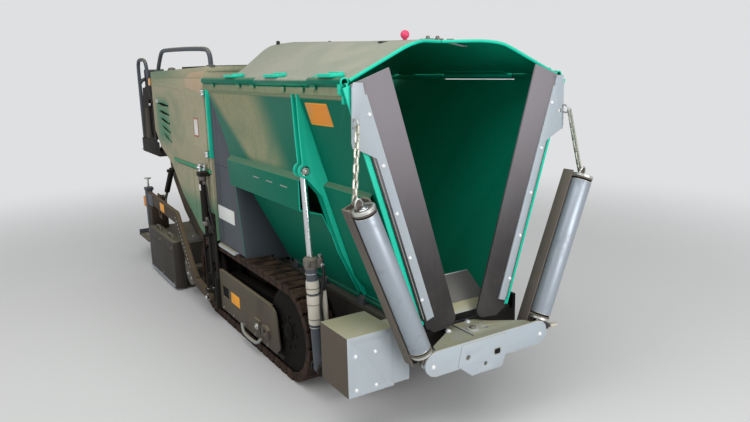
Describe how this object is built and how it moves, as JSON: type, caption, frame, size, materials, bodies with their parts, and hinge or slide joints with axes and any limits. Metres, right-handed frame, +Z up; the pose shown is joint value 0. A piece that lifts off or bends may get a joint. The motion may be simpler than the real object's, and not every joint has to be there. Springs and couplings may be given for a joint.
{
  "type": "tracked asphalt paver",
  "caption": "Compact tracked road paver folded for transport: raised hopper wings with folding covers, folded push rollers, slat conveyor, augers, extending screed on tow arms.",
  "frame": {"origin": "bottom centre of the bounding box, on the ground", "axes": "+Z up, the machine faces -Y, +X is its left side"},
  "size_m": [1.4974, 4.75, 2.0479],
  "materials": {
    "green_paint": "dusty gloss paint",
    "tan_paint": "dusty paint",
    "grey_paint": "satin paint",
    "light_grey": "worn light grey paint",
    "frame_black": "dirty black paint",
    "bare_steel": "worn steel",
    "chrome": "polished rod",
    "rubber": "dusty rubber",
    "track_rubber": "muddy rubber shoes",
    "seat_vinyl": "worn vinyl"
  },
  "bodies": {
    "chassis": {"chassis_frame": "frame_black", "hopper_deck": "grey_paint", "conveyor": "bare_steel", "hopper_rear_wall": "green_paint", "hopper_apron": "light_grey", "side_posts": "grey_paint", "front_weight": "frame_black", "tracks": "track_rubber", "track_gear": "frame_black", "track_guards": "frame_black", "engine_block": "frame_black", "engine_housing": "tan_paint", "bonnet_grille": "grey_paint", "tow_guides": "frame_black", "operator_deck": "grey_paint", "console": "grey_paint", "hand_rails": "frame_black", "auger_hanger": "bare_steel"},
    "wing_right": {"wing_right": "green_paint", "seal_right": "rubber", "strip_right": "light_grey"},
    "cover_right": {"cover_right": "green_paint"},
    "wing_barrel_right": {"wing_barrel_right": "frame_black"},
    "wing_rod_right": {"wing_rod_right": "chrome"},
    "wing_left": {"wing_left": "green_paint", "seal_left": "rubber", "strip_left": "light_grey"},
    "cover_left": {"cover_left": "green_paint"},
    "wing_barrel_left": {"wing_barrel_left": "frame_black"},
    "wing_rod_left": {"wing_rod_left": "chrome"},
    "push_bar": {"push_bar": "light_grey"},
    "carrier_right": {"carrier_right": "light_grey"},
    "push_roller_right": {"push_roller_right": "light_grey"},
    "chain_right": {"chain_right": "bare_steel"},
    "carrier_left": {"carrier_left": "light_grey"},
    "push_roller_left": {"push_roller_left": "light_grey"},
    "chain_left": {"chain_left": "bare_steel"},
    "tow_blocks": {"tow_blocks": "frame_black"},
    "screed": {"tow_arms": "frame_black", "screed_body": "grey_paint"},
    "lift_barrels": {"lift_barrels": "frame_black"},
    "lift_rods": {"lift_rods": "chrome"},
    "screed_ext_right": {"screed_ext_right": "grey_paint"},
    "auger_right": {"auger_right": "bare_steel"},
    "door_right": {"door_right": "tan_paint"},
    "seat_right": {"seat_right": "seat_vinyl"},
    "screed_ext_left": {"screed_ext_left": "grey_paint"},
    "auger_left": {"auger_left": "bare_steel"},
    "door_left": {"door_left": "tan_paint"},
    "seat_left": {"seat_left": "seat_vinyl"}
  },
  "joints": [
    {"name": "wing_right_fold", "type": "hinge", "parent": "chassis", "child": "wing_right", "pos_m": [-0.262, -1.375, 0.548], "axis": [0, -1, 0], "range_deg": [0, 35]},
    {"name": "cover_right_fold", "type": "hinge", "parent": "wing_right", "child": "cover_right", "pos_m": [-0.664, -1.475, 1.785], "axis": [0, -1, 0], "range_deg": [0, 95]},
    {"name": "wing_barrel_right_swing", "type": "hinge", "parent": "chassis", "child": "wing_barrel_right", "pos_m": [-0.588, -1.625, 0.212], "axis": [0, -1, 0], "range_deg": [-0.5, 27.44]},
    {"name": "wing_rod_right_slide", "type": "slide", "parent": "wing_barrel_right", "child": "wing_rod_right", "axis": [-0.0428, 0, 0.9991], "range_m": [-0.2466, 0.002]},
    {"name": "wing_left_fold", "type": "hinge", "parent": "chassis", "child": "wing_left", "pos_m": [0.262, -1.375, 0.548], "axis": [0, 1, 0], "range_deg": [0, 35]},
    {"name": "cover_left_fold", "type": "hinge", "parent": "wing_left", "child": "cover_left", "pos_m": [0.664, -1.475, 1.785], "axis": [0, 1, 0], "range_deg": [0, 95]},
    {"name": "wing_barrel_left_swing", "type": "hinge", "parent": "chassis", "child": "wing_barrel_left", "pos_m": [0.588, -1.625, 0.212], "axis": [0, 1, 0], "range_deg": [-0.5, 27.44]},
    {"name": "wing_rod_left_slide", "type": "slide", "parent": "wing_barrel_left", "child": "wing_rod_left", "axis": [0.0428, 0, 0.9991], "range_m": [-0.2466, 0.002]},
    {"name": "push_bar_pivot", "type": "hinge", "parent": "chassis", "child": "push_bar", "pos_m": [0, -2.235, 0.455], "axis": [0, 0, 1], "range_deg": [-2, 2]},
    {"name": "carrier_right_fold", "type": "hinge", "parent": "push_bar", "child": "carrier_right", "pos_m": [-0.36, -2.321, 0.44], "axis": [0, -1, 0], "range_deg": [0, 66]},
    {"name": "push_roller_right_spin", "type": "hinge", "parent": "carrier_right", "child": "push_roller_right", "pos_m": [-0.50984, -2.321, 0.81087], "axis": [-0.3746, 0, 0.9272], "continuous": true},
    {"name": "chain_right_hang", "type": "hinge", "parent": "carrier_right", "child": "chain_right", "pos_m": [-0.70829, -2.281, 1.27536], "axis": [0, -1, 0], "range_deg": [-1, 123.5]},
    {"name": "carrier_left_fold", "type": "hinge", "parent": "push_bar", "child": "carrier_left", "pos_m": [0.36, -2.321, 0.44], "axis": [0, 1, 0], "range_deg": [0, 66]},
    {"name": "push_roller_left_spin", "type": "hinge", "parent": "carrier_left", "child": "push_roller_left", "pos_m": [0.50984, -2.321, 0.81087], "axis": [0.3746, 0, 0.9272], "continuous": true},
    {"name": "chain_left_hang", "type": "hinge", "parent": "carrier_left", "child": "chain_left", "pos_m": [0.70829, -2.281, 1.27536], "axis": [0, 1, 0], "range_deg": [-1, 123.5]},
    {"name": "tow_level", "type": "slide", "parent": "chassis", "child": "tow_blocks", "axis": [0, 0, 1], "range_m": [-0.02, 0.06]},
    {"name": "screed_lift", "type": "hinge", "parent": "tow_blocks", "child": "screed", "pos_m": [0, 0.02, 0.17], "axis": [1, 0, 0], "range_deg": [0, 8]},
    {"name": "lift_barrel_swing", "type": "hinge", "parent": "chassis", "child": "lift_barrels", "pos_m": [0, 1.075, 1.01], "axis": [1, 0, 0], "range_deg": [-0.5, 14.27]},
    {"name": "lift_rod_slide", "type": "slide", "parent": "lift_barrels", "child": "lift_rods", "axis": [0, 0.7071, -0.7071], "range_m": [-0.1853, 0.002]},
    {"name": "screed_ext_right_slide", "type": "slide", "parent": "screed", "child": "screed_ext_right", "axis": [-1, 0, 0], "range_m": [0, 0.55]},
    {"name": "auger_right_spin", "type": "hinge", "parent": "chassis", "child": "auger_right", "pos_m": [-0.3, 0.625, 0.235], "axis": [-1, 0, 0], "continuous": true},
    {"name": "door_right_open", "type": "hinge", "parent": "chassis", "child": "door_right", "pos_m": [-0.633, -0.035, 1.45], "axis": [0, 0, 1], "range_deg": [0, 85]},
    {"name": "seat_right_swivel", "type": "hinge", "parent": "chassis", "child": "seat_right", "pos_m": [-0.445, 1.925, 1.3], "axis": [0, 0, -1], "range_deg": [0, 90]},
    {"name": "screed_ext_left_slide", "type": "slide", "parent": "screed", "child": "screed_ext_left", "axis": [1, 0, 0], "range_m": [0, 0.55]},
    {"name": "auger_left_spin", "type": "hinge", "parent": "chassis", "child": "auger_left", "pos_m": [0.3, 0.625, 0.235], "axis": [1, 0, 0], "continuous": true},
    {"name": "door_left_open", "type": "hinge", "parent": "chassis", "child": "door_left", "pos_m": [0.633, -0.035, 1.45], "axis": [0, 0, -1], "range_deg": [0, 85]},
    {"name": "seat_left_swivel", "type": "hinge", "parent": "chassis", "child": "seat_left", "pos_m": [0.445, 1.925, 1.3], "axis": [0, 0, 1], "range_deg": [0, 90]}
  ],
  "couplings": [
    {"joint": "wing_barrel_right_swing", "follows": "wing_right_fold", "ratio": 0.76968},
    {"joint": "wing_rod_right_slide", "follows": "wing_right_fold", "m_per_rad": -0.40038},
    {"joint": "wing_barrel_left_swing", "follows": "wing_left_fold", "ratio": 0.76968},
    {"joint": "wing_rod_left_slide", "follows": "wing_left_fold", "m_per_rad": -0.40038},
    {"joint": "chain_right_hang", "follows": "carrier_right_fold", "ratio": 1.86},
    {"joint": "chain_left_hang", "follows": "carrier_left_fold", "ratio": 1.86},
    {"joint": "lift_barrel_swing", "follows": "screed_lift", "ratio": 1.7216},
    {"joint": "lift_rod_slide", "follows": "screed_lift", "m_per_rad": -1.3127}
  ]
}
